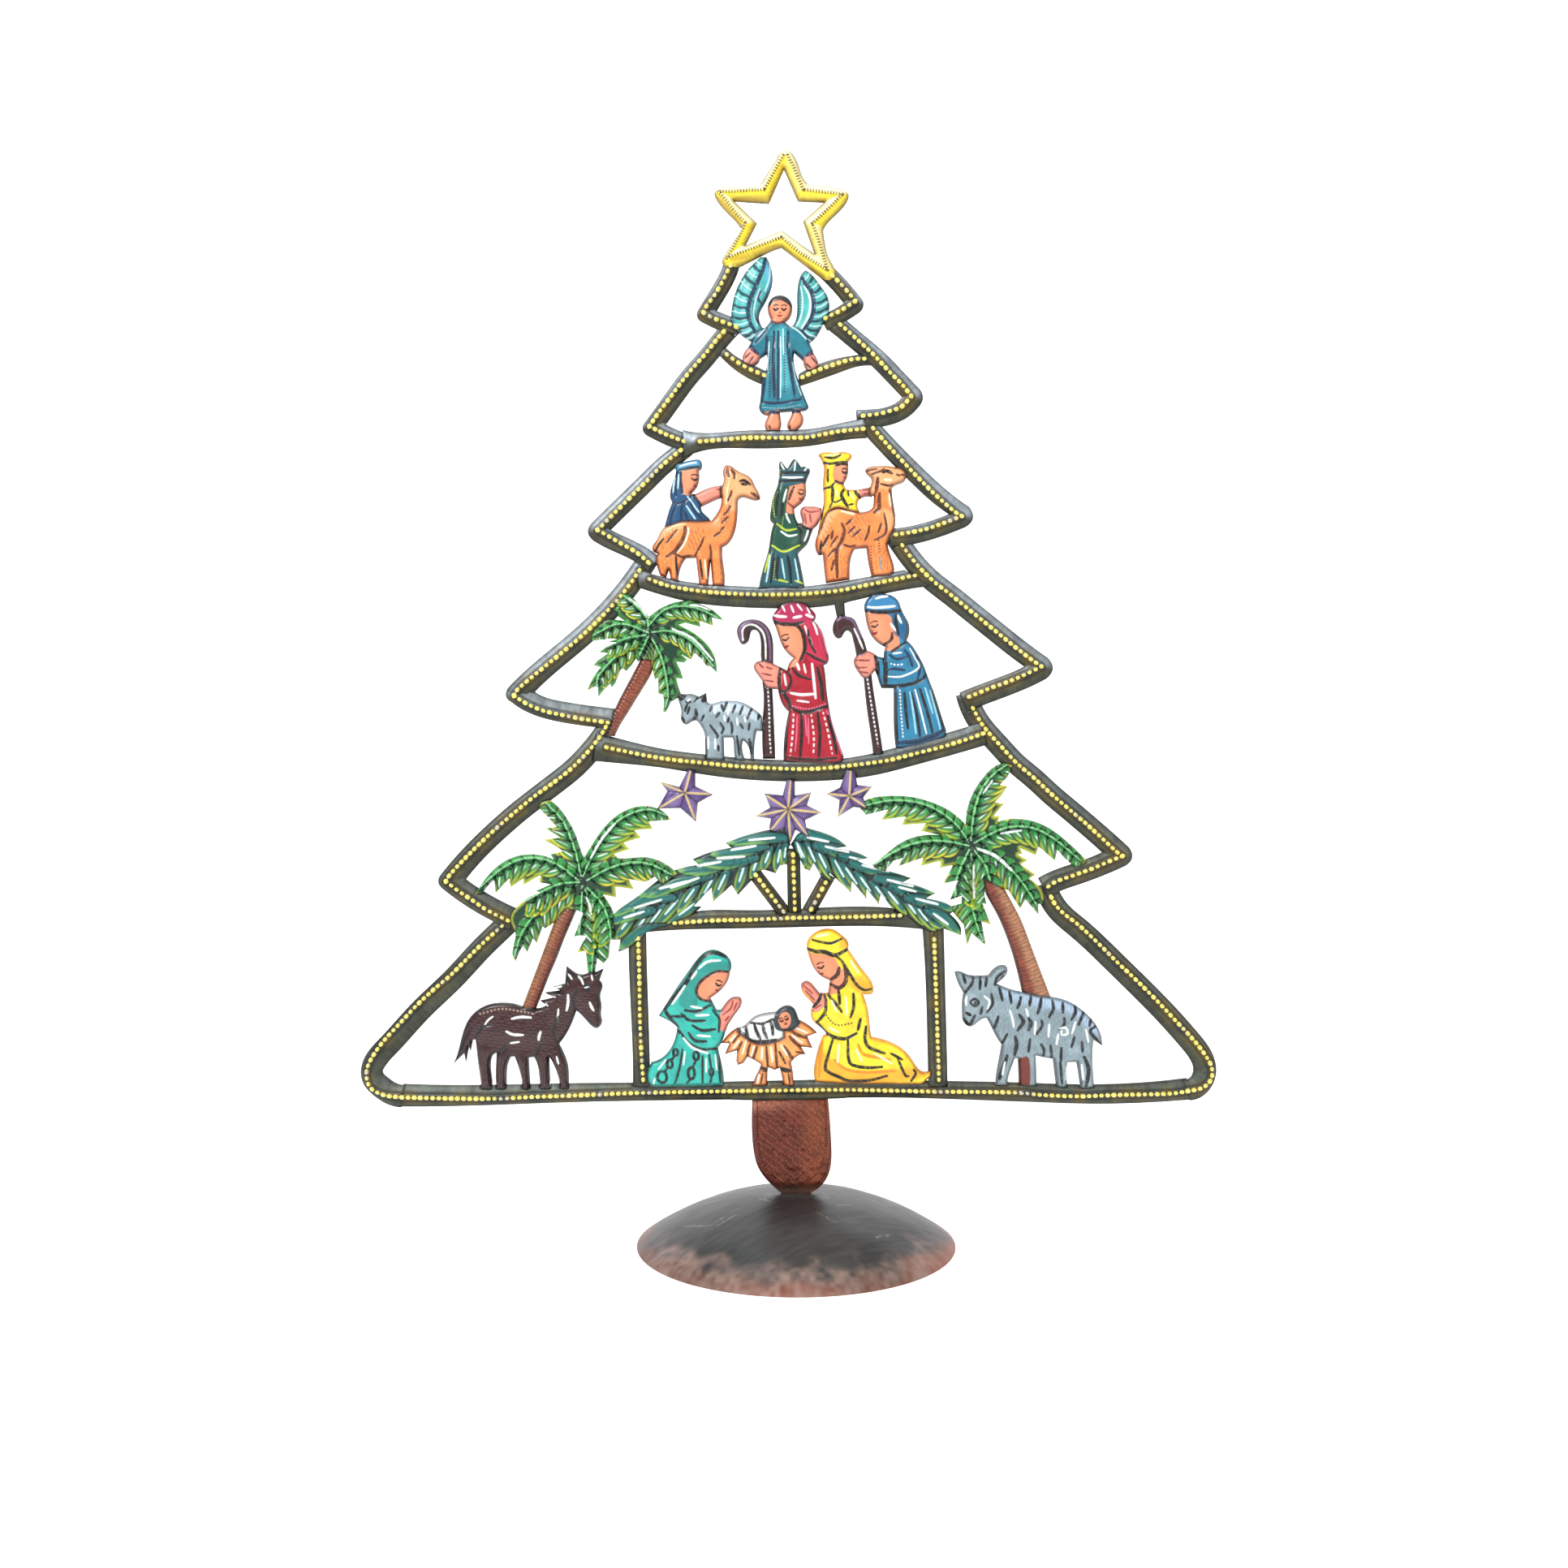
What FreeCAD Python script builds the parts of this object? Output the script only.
import FreeCAD, Part
import math
import os

# A free-standing nativity tree cut and chased from drum-steel sheet. A lattice of beaded bands in
# six tiers carries small sheet figures. The trunk ends in a tongue that drops into a slot in a
# domed steel foot, and the whole tree lifts out of it.
# Frame: X to the right, Z up, the worked face towards -Y. Millimetres. The origin is on the
# surface that the foot stands on, under the middle of the tree.

os.makedirs("parts", exist_ok=True)
doc = FreeCAD.newDocument("nativity_tree")

# ---------------------------------------------------------------- driving dimensions
sheet = doc.addObject("Spreadsheet::Sheet", "sizes")
DIMENSIONS = {
    "gauge": 1.2,             # thickness of the drum steel
    "band_1": 6.4,            # width of each tier's band, from the top tier down
    "band_2": 7.2,
    "band_3": 7.2,
    "band_4": 8.3,
    "band_5": 8.6,
    "band_6": 8.9,
    "rafter_band": 5.4,       # width of the stable's three roof struts
    "foot_radius": 63.0,
    "foot_height": 20.0,
    "foot_centre": 3.0,       # where the foot's axis is along X
    "tongue_width": 12.0,
    "tongue_depth": 12.0,
    "slot_clearance": 0.2,    # gap on every side of the tongue
    "lip_depth": 4.0,         # how far the chiselled slot's edges are turned down
    "lip_gauge": 1.0,
    "shoulder_gap": 0.05,     # between the trunk's lower edge and the top of the foot
}

# Left edge and top edge of each figure's own drawing, in the tree's frame.
ANCHORS = {
    "star_topper": (-31, 435),
    "angel": (-24, 392),
    "angel_wing_left": (-24, 392),
    "angel_wing_right": (-24, 392),
    "rider_1": (-55, 312),
    "camel_1": (-55, 312),
    "king": (-10, 312),
    "rider_2": (9, 316),
    "camel_2": (9, 316),
    "palm_small_fronds": (-80, 259),
    "palm_small_trunk": (-80, 259),
    "sheep_small": (-46, 221),
    "shepherd_red": (-23, 256),
    "crook_red": (-23, 256),
    "shepherd_blue": (15, 260),
    "crook_blue": (15, 260),
    "purple_star_left": (-54, 189),
    "purple_star_centre": (-54, 189),
    "purple_star_right": (-54, 189),
    "palm_left_fronds": (-126, 178),
    "palm_left_trunk": (-126, 178),
    "palm_right_fronds": (26, 192),
    "palm_right_trunk": (26, 192),
    "thatch_left": (-73, 167),
    "thatch_right": (-73, 167),
    "donkey": (-134, 112),
    "mary": (-58, 119),
    "manger": (-27, 96),
    "baby": (-27, 96),
    "joseph": (2, 126),
    "sheep_large": (64, 113),
}

row = 1
for word, value in DIMENSIONS.items():
    sheet.set(f"A{row}", word)
    sheet.set(f"B{row}", str(value))
    sheet.setAlias(f"B{row}", word)
    row += 1
for figure, (left, top) in ANCHORS.items():
    sheet.set(f"A{row}", figure)
    sheet.set(f"B{row}", str(left))
    sheet.set(f"C{row}", str(top))
    sheet.setAlias(f"B{row}", f"{figure}_left")
    sheet.setAlias(f"C{row}", f"{figure}_top")
    row += 1
doc.recompute()


# ---------------------------------------------------------------- outlines
def smooth(*points):
    """A curved stretch of an outline, which starts where the stretch before it ends."""
    return ("smooth", list(points))


def straight(*points):
    """Straight edges from point to point, starting where the stretch before them ends."""
    return ("straight", list(points))


# Each figure is drawn from its own top left corner: how far across, and how far down.
FIGURES = {}

FIGURES["angel"] = [[
    straight((17.0, 25.6)),
    smooth((15.9, 22.8), (15.9, 19.6), (17.3, 17.2), (20.5, 15.9), (23.7, 17.0), (25.3, 19.4), (25.4, 22.4),
           (24.4, 24.9), (22.6, 26.6)),
    smooth((24.5, 28.0), (28.0, 30.3), (31.2, 33.4), (34.0, 38.8)),
    smooth((35.4, 41.5), (35.8, 43.8), (34.3, 45.3), (31.5, 45.8), (30.2, 44.0), (29.8, 42.0)),
    straight((26.3, 38.7)),
    smooth((26.2, 43.0), (27.4, 48.0), (29.5, 54.0), (32.0, 60.0)),
    smooth((31.3, 61.3), (30.0, 61.8), (28.5, 62.0)),
    smooth((29.4, 63.2), (29.9, 66.0), (28.6, 68.4), (24.6, 69.6)),
    smooth((23.4, 68.0), (24.4, 65.0), (25.2, 62.0)),
    straight((20.6, 62.4)),
    smooth((20.9, 64.6), (21.1, 67.8), (20.2, 69.8)),
    straight((15.6, 69.8)),
    smooth((14.5, 67.6), (15.3, 65.0), (16.0, 63.6)),
    smooth((14.3, 63.3), (12.8, 62.0), (12.5, 59.0)),
    smooth((13.0, 55.0), (13.5, 50.0), (14.8, 46.0), (15.3, 39.3)),
    straight((12.6, 41.2)),
    smooth((10.3, 43.8), (7.2, 43.4), (5.8, 41.5), (6.2, 39.0), (7.7, 37.0)),
    smooth((9.5, 34.0), (12.0, 31.0), (15.0, 28.4), (17.0, 25.6)),
]]

FIGURES["angel_wing_left"] = [[
    straight((13.0, 0.8)),
    smooth((11.0, 2.5), (8.0, 5.5), (5.3, 9.5), (3.0, 14.5), (1.6, 20.0), (1.2, 24.0), (2.0, 28.0), (4.5, 31.0),
           (9.3, 34.4)),
    straight((14.5, 29.6)),
    smooth((12.6, 26.6), (12.4, 23.6), (14.3, 19.5), (16.5, 15.0), (17.6, 11.0), (17.4, 6.5), (15.3, 0.8)),
    straight((13.0, 0.8)),
]]

FIGURES["angel_wing_right"] = [[
    straight((30.8, 6.0)),
    smooth((33.5, 8.0), (36.6, 12.0), (39.3, 16.0), (40.3, 20.0), (39.5, 24.0), (37.5, 28.0), (35.3, 32.0),
           (31.6, 35.2)),
    straight((24.8, 29.0)),
    smooth((26.5, 26.6), (27.4, 22.0), (27.4, 16.0), (28.0, 10.5), (29.3, 7.3), (30.8, 6.0)),
]]

FIGURES["camel_1"] = [[
    straight((29.2, 5.0)),
    smooth((30.4, 3.4), (32.5, 3.9), (35.0, 5.7), (38.0, 7.1), (40.4, 9.0), (41.6, 11.5), (43.4, 14.8),
           (43.6, 16.8), (42.4, 17.3), (39.0, 16.6), (36.4, 16.2), (35.0, 17.4)),
    smooth((34.8, 21.0), (34.3, 27.0), (33.0, 31.5), (31.2, 34.3), (28.8, 35.9)),
    smooth((28.7, 39.0), (29.3, 44.0), (29.5, 51.2)),
    straight((24.8, 51.2), (24.0, 41.5), (23.1, 51.2), (19.5, 51.0)),
    smooth((18.9, 46.0), (18.2, 40.2)),
    straight((14.3, 40.3)),
    smooth((12.4, 43.5), (11.4, 47.0), (11.3, 49.6)),
    straight((8.2, 48.8), (7.5, 45.0), (6.4, 48.0), (4.0, 47.2)),
    smooth((3.1, 44.8), (2.6, 41.5), (3.0, 38.6)),
    straight((1.2, 37.6)),
    smooth((1.0, 35.6), (2.4, 33.4), (4.0, 30.2), (5.9, 27.9)),
    smooth((8.6, 27.4), (11.6, 26.3), (15.0, 25.9), (20.0, 26.0), (24.4, 25.4)),
    smooth((26.6, 22.5), (28.1, 19.0), (28.3, 15.0), (28.8, 11.0), (29.3, 9.0), (28.9, 6.8), (29.2, 5.0)),
]]

FIGURES["rider_1"] = [[
    straight((9.7, 4.0)),
    smooth((13.0, 2.3), (17.0, 1.3), (20.0, 1.5), (20.7, 3.3), (19.4, 5.6)),
    smooth((19.6, 7.6), (19.4, 9.8), (18.6, 12.0), (17.2, 13.8), (16.2, 14.8)),
    straight((18.3, 14.8)),
    smooth((20.5, 13.6), (24.0, 12.2), (28.9, 11.4)),
    straight((28.9, 16.2)),
    smooth((26.0, 17.2), (23.0, 18.6), (20.4, 19.8)),
    smooth((20.8, 21.8), (22.6, 23.6), (24.2, 26.3)),
    straight((15.0, 27.0), (6.0, 29.4), (5.8, 27.8)),
    smooth((6.7, 24.2), (7.6, 21.2), (8.8, 18.3)),
    straight((8.0, 16.6)),
    smooth((8.1, 13.2), (9.3, 9.4), (10.2, 6.4), (9.7, 4.0)),
]]

FIGURES["king"] = [[
    straight((6.2, 2.8)),
    smooth((6.9, 1.9), (8.2, 3.2), (9.6, 4.5)),
    smooth((11.0, 2.2), (12.3, 1.0), (13.6, 2.0), (15.0, 4.1)),
    smooth((17.0, 4.1), (18.5, 5.3), (17.9, 7.6), (17.2, 9.4), (16.9, 11.6)),
    smooth((17.1, 13.6), (16.7, 16.0), (15.3, 18.2), (13.4, 19.8), (12.3, 20.8)),
    smooth((12.5, 22.8), (13.1, 25.0), (13.9, 26.4)),
    straight((15.4, 26.2)),
    smooth((14.7, 23.0), (14.7, 21.2), (15.6, 20.1), (18.0, 19.7), (21.0, 19.9), (23.2, 20.6)),
    smooth((22.9, 23.6), (21.6, 26.8), (19.9, 28.6)),
    smooth((18.6, 32.0), (17.2, 35.0), (15.3, 36.9), (13.8, 38.6)),
    smooth((14.9, 43.5), (16.4, 51.4)),
    straight((13.2, 52.2), (-1.8, 52.2)),
    smooth((-1.0, 47.6), (0.4, 42.6), (2.0, 37.0), (2.9, 31.0), (4.1, 26.6)),
    smooth((2.7, 25.0), (2.8, 22.0), (3.8, 16.0), (5.7, 11.0), (6.1, 7.0), (6.2, 2.8)),
]]

FIGURES["camel_2"] = [[
    straight((21.5, 9.2)),
    smooth((23.4, 8.0), (26.5, 7.7), (30.5, 7.7), (34.0, 8.5), (37.0, 10.4), (37.7, 12.2), (36.8, 13.9),
           (34.6, 14.9), (32.0, 16.9)),
    smooth((32.3, 20.5), (33.0, 25.0), (33.5, 29.0), (33.1, 32.5)),
    smooth((31.6, 34.9), (30.5, 37.4), (30.8, 41.0), (33.0, 49.2)),
    smooth((31.8, 50.6), (29.0, 51.4), (24.0, 51.8)),
    smooth((22.7, 46.0), (21.9, 40.3)),
    straight((17.4, 40.7)),
    smooth((16.0, 43.6), (15.4, 47.0), (15.3, 52.8)),
    straight((10.2, 53.6), (5.8, 54.2)),
    smooth((5.1, 48.5), (4.6, 42.9)),
    straight((3.0, 43.2)),
    smooth((1.8, 41.0), (1.7, 37.2), (2.8, 34.4)),
    smooth((4.0, 31.5), (5.6, 27.8), (7.8, 25.3), (10.6, 24.5), (14.0, 25.3), (17.6, 26.1), (21.6, 25.8),
           (24.2, 24.4), (24.8, 21.6), (24.9, 19.6)),
    straight((23.2, 19.6), (23.2, 16.4)),
    smooth((23.8, 14.6), (23.9, 12.8), (22.4, 11.2), (21.5, 9.2)),
]]

FIGURES["rider_2"] = [[
    straight((2.8, 3.4)),
    smooth((4.4, 2.4), (9.0, 2.4), (13.6, 2.2), (15.9, 3.2), (14.6, 6.0)),
    smooth((14.8, 8.0), (14.7, 10.4), (14.1, 12.6), (13.0, 14.6)),
    straight((13.1, 15.6), (14.0, 17.0), (17.4, 17.2)),
    smooth((19.4, 16.9), (21.4, 16.5), (24.2, 16.0)),
    straight((24.2, 20.0)),
    smooth((21.8, 19.8), (19.8, 20.5), (18.8, 21.3)),
    smooth((18.4, 23.4), (19.6, 26.4)),
    straight((12.0, 27.0), (7.0, 28.0), (2.4, 35.4)),
    smooth((3.4, 30.0), (4.3, 25.5), (4.9, 22.0), (4.7, 17.0), (4.8, 12.0), (5.0, 8.0), (4.2, 5.6), (2.8, 3.4)),
]]

FIGURES["palm_small_fronds"] = [[
    straight((14.3, 1.4)),
    smooth((17.0, 2.3), (20.0, 4.8), (23.0, 8.2), (24.7, 10.5)),
    smooth((28.0, 7.9), (32.0, 5.8), (36.0, 4.6), (40.5, 4.4), (45.5, 5.8), (50.0, 8.0), (54.0, 11.9)),
    straight((49.6, 10.9), (50.0, 14.1), (44.6, 12.2), (45.0, 14.6), (39.0, 12.9), (36.2, 13.7)),
    smooth((39.0, 15.1), (43.0, 17.4), (46.6, 20.4), (49.6, 24.2), (51.2, 28.4), (51.5, 32.8)),
    straight((49.2, 30.4), (47.3, 30.0), (45.0, 27.0), (42.6, 25.0), (41.2, 27.6), (38.8, 26.2), (37.0, 25.2),
             (39.7, 27.6), (38.5, 28.8), (35.4, 28.4), (37.0, 31.5), (38.1, 35.2), (35.4, 34.9)),
    straight((36.2, 38.0), (37.4, 41.6), (35.4, 43.2), (33.4, 44.2), (31.2, 48.5), (30.2, 48.2), (30.5, 44.0),
             (30.1, 41.5), (28.3, 41.0), (28.2, 34.6), (26.9, 35.5), (26.1, 31.8), (25.6, 28.0), (21.7, 27.2)),
    straight((20.2, 28.5), (19.4, 27.1), (17.6, 29.9), (15.4, 32.2), (14.2, 31.1), (13.1, 31.9), (11.2, 36.8),
             (9.8, 38.6), (9.0, 37.1), (5.6, 40.8), (4.5, 42.3), (4.2, 38.4), (2.2, 38.6), (0.2, 39.8)),
    smooth((1.6, 36.2), (3.4, 33.2), (5.4, 30.6)),
    straight((2.6, 29.8), (4.0, 28.0), (8.4, 25.0), (4.9, 24.6), (7.6, 22.4), (12.0, 20.7), (8.4, 20.5),
             (12.4, 19.4), (9.4, 19.2), (6.6, 19.6), (1.8, 20.1)),
    smooth((2.6, 17.0), (5.2, 14.0), (8.2, 12.2), (12.2, 11.9), (15.0, 12.2)),
    straight((12.1, 10.3), (12.6, 8.9), (10.3, 7.9), (12.2, 6.8), (11.4, 5.2), (14.3, 1.4)),
]]

FIGURES["palm_small_trunk"] = [[
    straight((21.7, 26.6), (25.8, 26.6)),
    smooth((26.0, 31.4), (23.2, 37.2), (19.6, 43.0), (16.2, 48.6), (13.2, 53.4), (11.0, 58.0)),
    straight((6.6, 58.0)),
    smooth((9.3, 55.4), (10.4, 49.8), (12.9, 43.2), (16.2, 37.0), (19.2, 31.4), (21.7, 26.6)),
]]

FIGURES["sheep_small"] = [[
    straight((1.9, 4.6)),
    smooth((2.8, 3.1), (4.8, 3.3), (7.2, 3.1), (9.0, 3.6), (10.4, 4.3)),
    straight((13.3, 2.8), (13.7, 6.2)),
    smooth((14.8, 7.0), (18.0, 6.4), (23.0, 5.9), (27.4, 6.5), (31.0, 8.3), (34.2, 10.7), (35.6, 12.3)),
    straight((35.6, 18.0), (33.4, 18.0)),
    smooth((32.7, 21.6), (32.4, 25.0), (32.4, 29.4)),
    straight((30.8, 29.4)),
    smooth((30.6, 26.0), (29.8, 23.7), (28.0, 21.8)),
    smooth((27.6, 24.4), (28.0, 27.0), (28.7, 29.4)),
    straight((25.1, 29.4)),
    smooth((24.3, 26.0), (24.2, 23.0), (23.8, 20.6)),
    straight((20.3, 20.6), (20.6, 29.4), (13.0, 29.2), (12.8, 20.4)),
    smooth((12.2, 17.8), (10.8, 15.4), (9.2, 13.8), (7.6, 14.2), (5.2, 15.4), (3.4, 13.6), (3.4, 10.4),
           (2.9, 7.8), (1.9, 4.6)),
]]

FIGURES["shepherd_red"] = [[
    straight((16.4, 8.1)),
    smooth((17.8, 5.4), (20.6, 3.0), (25.0, 1.9), (29.2, 2.6), (32.2, 4.7), (33.7, 6.5), (33.2, 9.3)),
    smooth((35.5, 12.0), (37.1, 15.6), (38.1, 20.0), (38.9, 25.2), (37.0, 26.9)),
    smooth((37.7, 31.0), (38.1, 36.0), (38.9, 42.0), (40.0, 48.0), (41.6, 53.4), (45.0, 63.2)),
    smooth((43.6, 65.0), (40.0, 65.6), (33.0, 65.4), (27.0, 65.2), (21.0, 64.6)),
    smooth((21.0, 60.0), (21.5, 54.0), (22.2, 49.4), (23.0, 45.2)),
    smooth((20.6, 42.4), (19.4, 39.4), (18.8, 36.4)),
    smooth((16.4, 36.2), (14.2, 35.4), (12.2, 32.6), (10.0, 29.6), (9.2, 27.2), (10.4, 25.4), (13.0, 25.2),
           (16.4, 26.0), (20.2, 27.7)),
    straight((22.4, 28.8)),
    smooth((23.0, 26.6), (25.0, 24.0)),
    smooth((22.8, 22.2), (20.8, 19.6), (19.3, 16.2), (18.2, 12.6), (17.2, 10.2)),
    straight((16.4, 8.1)),
]]

FIGURES["crook_red"] = [[
    straight((3.9, 18.0)),
    smooth((2.8, 15.4), (2.6, 12.4), (4.4, 9.8), (8.0, 8.6), (12.0, 9.3), (15.0, 12.0), (16.6, 16.0), (17.0, 20.0),
           (17.0, 26.0)),
    straight((16.6, 36.0)),
    smooth((17.0, 43.0), (17.3, 50.0), (17.6, 57.0), (17.8, 64.0)),
    straight((12.8, 64.0)),
    smooth((12.5, 57.0), (12.6, 50.0), (13.0, 43.0), (12.6, 34.0)),
    straight((12.3, 25.4)),
    smooth((12.0, 20.0), (11.6, 15.4), (10.2, 13.0), (8.6, 13.0), (7.8, 14.8), (6.8, 17.6), (5.4, 18.5),
           (3.9, 18.0)),
]]

FIGURES["shepherd_blue"] = [[
    straight((15.2, 9.0)),
    smooth((15.2, 6.4), (16.4, 4.4), (19.0, 3.1), (22.5, 2.5), (26.0, 3.2), (28.5, 5.2), (29.7, 8.2),
           (31.0, 11.0), (32.6, 14.0), (33.0, 17.4), (31.9, 21.0)),
    smooth((34.2, 23.2), (36.6, 27.0), (38.8, 31.2), (40.2, 35.0), (42.1, 39.8), (44.0, 45.4), (47.6, 56.6)),
    smooth((47.0, 58.6), (44.0, 60.0), (38.0, 62.0), (32.0, 63.2), (27.6, 63.6)),
    smooth((27.0, 58.0), (26.8, 50.0), (26.7, 40.0)),
    straight((22.0, 39.9)),
    smooth((20.9, 37.4), (20.1, 34.8), (19.3, 32.9)),
    smooth((17.8, 34.8), (15.2, 36.0), (12.9, 33.9), (11.4, 31.4), (10.9, 29.0), (12.2, 27.0), (14.4, 26.4),
           (15.8, 25.2), (17.2, 25.3), (20.3, 27.3)),
    straight((22.8, 27.8)),
    smooth((22.9, 25.6), (23.5, 23.6)),
    smooth((21.2, 22.4), (18.6, 20.0), (16.8, 16.8), (15.8, 13.2), (15.2, 9.0)),
]]

FIGURES["crook_blue"] = [[
    straight((4.4, 11.4)),
    smooth((7.4, 11.3), (10.6, 12.2), (13.0, 16.4), (15.0, 21.0), (16.4, 26.0)),
    straight((18.0, 34.4)),
    smooth((18.4, 38.0), (19.3, 44.0), (20.4, 51.0), (22.6, 65.8)),
    straight((18.6, 66.4)),
    smooth((17.4, 57.0), (16.2, 49.0), (15.4, 42.0), (14.8, 35.4)),
    straight((11.9, 27.0)),
    smooth((11.4, 24.0), (10.5, 20.2), (9.5, 17.7), (8.3, 17.1), (7.0, 18.2), (6.0, 19.8), (4.8, 20.2),
           (3.3, 19.2), (2.5, 16.8), (2.9, 14.0), (4.4, 11.4)),
]]

FIGURES["purple_star_left"] = [[
    straight((14.0, 1.2), (17.0, 1.8), (17.0, 7.8), (24.0, 11.2), (18.0, 14.5), (17.2, 22.0), (11.0, 16.6),
             (1.8, 16.9), (5.8, 9.9), (2.8, 6.0), (10.6, 8.1), (14.0, 1.2)),
]]

FIGURES["purple_star_centre"] = [[
    straight((53.2, 5.2), (56.6, 5.4), (56.6, 11.5), (63.1, 10.2), (61.4, 15.4), (67.1, 18.3), (60.6, 21.4),
             (61.9, 28.0), (56.8, 25.2), (54.8, 30.4), (52.4, 24.6), (48.4, 25.8), (46.2, 24.6), (46.9, 20.8),
             (40.7, 19.9), (46.6, 16.3), (44.4, 10.7), (51.6, 11.4), (53.2, 5.2)),
]]

FIGURES["purple_star_right"] = [[
    straight((76.8, 1.6), (80.2, 1.4), (81.3, 7.3), (87.2, 8.0), (83.7, 12.4), (85.0, 16.6), (79.8, 16.2),
             (73.6, 20.1), (74.2, 13.4), (69.0, 11.0), (74.4, 8.4), (76.8, 1.6)),
]]

FIGURES["palm_left_fronds"] = [[
    straight((28.0, 3.4), (31.0, 2.4)),
    smooth((34.2, 4.8), (37.5, 9.0), (40.2, 13.6), (42.2, 18.4), (43.5, 22.4), (44.8, 25.2)),
    smooth((48.0, 20.0), (52.0, 14.2), (57.0, 9.1), (62.2, 6.0), (68.0, 4.7), (73.2, 5.4), (77.0, 7.6),
           (79.1, 10.3)),
    straight((70.4, 10.9), (72.0, 13.9), (64.6, 14.4), (67.4, 17.3), (60.4, 19.4), (62.9, 21.9), (56.6, 23.9),
             (58.2, 25.4)),
    smooth((62.6, 25.4), (67.8, 25.0), (72.4, 25.6), (76.6, 27.4), (82.0, 31.4)),
    straight((76.0, 35.6), (73.0, 32.8), (69.3, 35.0), (62.4, 33.8), (64.5, 37.8), (57.2, 36.8), (57.5, 41.1),
             (52.0, 39.8)),
    smooth((54.4, 43.0), (56.4, 47.0)),
    straight((57.3, 58.0), (55.2, 57.8), (54.6, 64.8), (52.7, 67.2), (50.0, 65.0), (48.9, 72.4), (46.6, 72.4),
             (45.4, 62.4), (41.9, 63.0), (46.0, 56.1), (40.9, 56.5), (44.4, 47.2), (42.2, 46.2)),
    straight((38.4, 45.2), (36.4, 46.6), (33.0, 51.0), (29.4, 53.4), (28.4, 52.4), (26.0, 59.0), (24.6, 57.2),
             (22.2, 62.8), (20.2, 60.4), (17.5, 66.4)),
    smooth((16.4, 62.4), (17.4, 57.6), (17.2, 53.4), (16.0, 50.2), (17.2, 46.0), (20.4, 42.8), (24.2, 40.3),
           (28.0, 39.2)),
    straight((25.6, 38.5), (31.6, 35.8), (27.1, 35.1), (27.4, 32.2), (20.8, 36.1), (20.6, 33.6), (15.6, 37.1),
             (15.3, 33.3), (9.7, 39.2), (9.2, 34.3)),
    smooth((6.8, 36.2), (4.6, 38.8), (1.8, 39.4)),
    smooth((5.0, 34.4), (9.0, 29.9), (13.2, 26.7), (17.4, 24.8), (22.4, 23.9), (27.4, 24.2), (33.0, 26.2)),
    straight((31.6, 23.9), (36.6, 22.6), (28.7, 18.1), (35.4, 17.2), (29.4, 13.6), (34.0, 13.0), (26.9, 5.4),
             (28.0, 3.4)),
]]

FIGURES["palm_left_trunk"] = [[
    straight((36.2, 44.6), (42.3, 44.6)),
    smooth((40.0, 50.2), (37.0, 57.2), (34.0, 65.0), (31.0, 72.0), (28.2, 79.0), (25.0, 87.0)),
    straight((19.6, 86.0)),
    smooth((23.4, 76.2), (26.4, 68.2), (29.4, 60.2), (32.4, 52.2), (36.2, 44.6)),
]]

FIGURES["palm_right_fronds"] = [[
    straight((44.4, 26.2)),
    smooth((45.4, 18.4), (48.0, 12.2), (52.0, 6.6), (56.0, 2.9), (59.6, 1.8)),
    straight((62.6, 2.6), (60.6, 7.6), (57.8, 10.4), (60.9, 10.9), (58.6, 14.6), (56.0, 17.2), (59.6, 17.9),
             (55.4, 22.8), (57.9, 22.7), (57.0, 25.2)),
    smooth((61.0, 23.9), (66.0, 23.8), (71.4, 24.8), (77.2, 27.3), (82.2, 30.8), (86.8, 34.8), (92.4, 40.4)),
    straight((90.3, 42.0), (87.8, 43.0), (83.8, 39.6), (80.6, 36.0), (79.7, 40.4), (73.2, 34.8), (72.2, 38.4),
             (65.8, 35.4), (67.0, 37.6), (65.0, 38.0), (69.1, 40.3), (66.2, 41.9), (72.1, 46.0), (69.6, 47.6)),
    smooth((72.4, 49.6), (74.4, 52.6), (74.7, 57.4)),
    straight((73.2, 57.6), (73.3, 61.8), (68.0, 55.8), (66.0, 59.4), (61.4, 52.2), (58.8, 51.4)),
    straight((51.4, 47.2), (51.6, 54.0), (52.6, 57.6), (51.0, 57.4), (54.4, 65.9), (50.6, 64.6), (52.4, 74.2),
             (46.6, 69.2), (44.9, 74.0), (43.6, 66.0), (39.4, 61.0), (38.9, 58.4), (42.6, 57.4), (42.8, 54.4),
             (38.2, 56.0), (41.4, 48.2), (35.6, 49.4), (39.4, 42.2), (34.2, 43.3), (34.4, 40.6)),
    straight((26.6, 42.6), (27.6, 39.2), (17.6, 42.6), (19.6, 39.2), (15.6, 40.6), (12.4, 44.5), (9.6, 44.2),
             (7.2, 42.2)),
    smooth((12.0, 38.4), (17.0, 34.4), (22.0, 31.7), (27.0, 30.4), (33.0, 30.2), (38.2, 31.2)),
    straight((26.7, 28.6), (28.6, 25.6), (19.0, 26.3), (20.6, 22.9), (10.9, 24.4), (13.6, 20.1), (4.7, 22.3),
             (1.8, 18.9)),
    smooth((5.0, 16.2), (10.0, 14.9), (16.0, 14.6), (23.0, 15.1), (30.0, 16.9), (36.0, 19.4), (41.0, 22.8),
           (44.4, 26.2)),
]]

FIGURES["palm_right_trunk"] = [[
    straight((51.0, 46.6), (59.0, 50.0)),
    smooth((62.2, 56.0), (66.0, 63.2), (69.2, 71.2), (72.2, 79.2), (75.2, 87.0), (78.4, 95.4)),
    straight((67.2, 95.0)),
    smooth((65.0, 85.0), (62.8, 77.0), (60.0, 69.0), (56.0, 60.2), (52.2, 53.2), (51.0, 46.6)),
]]

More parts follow.
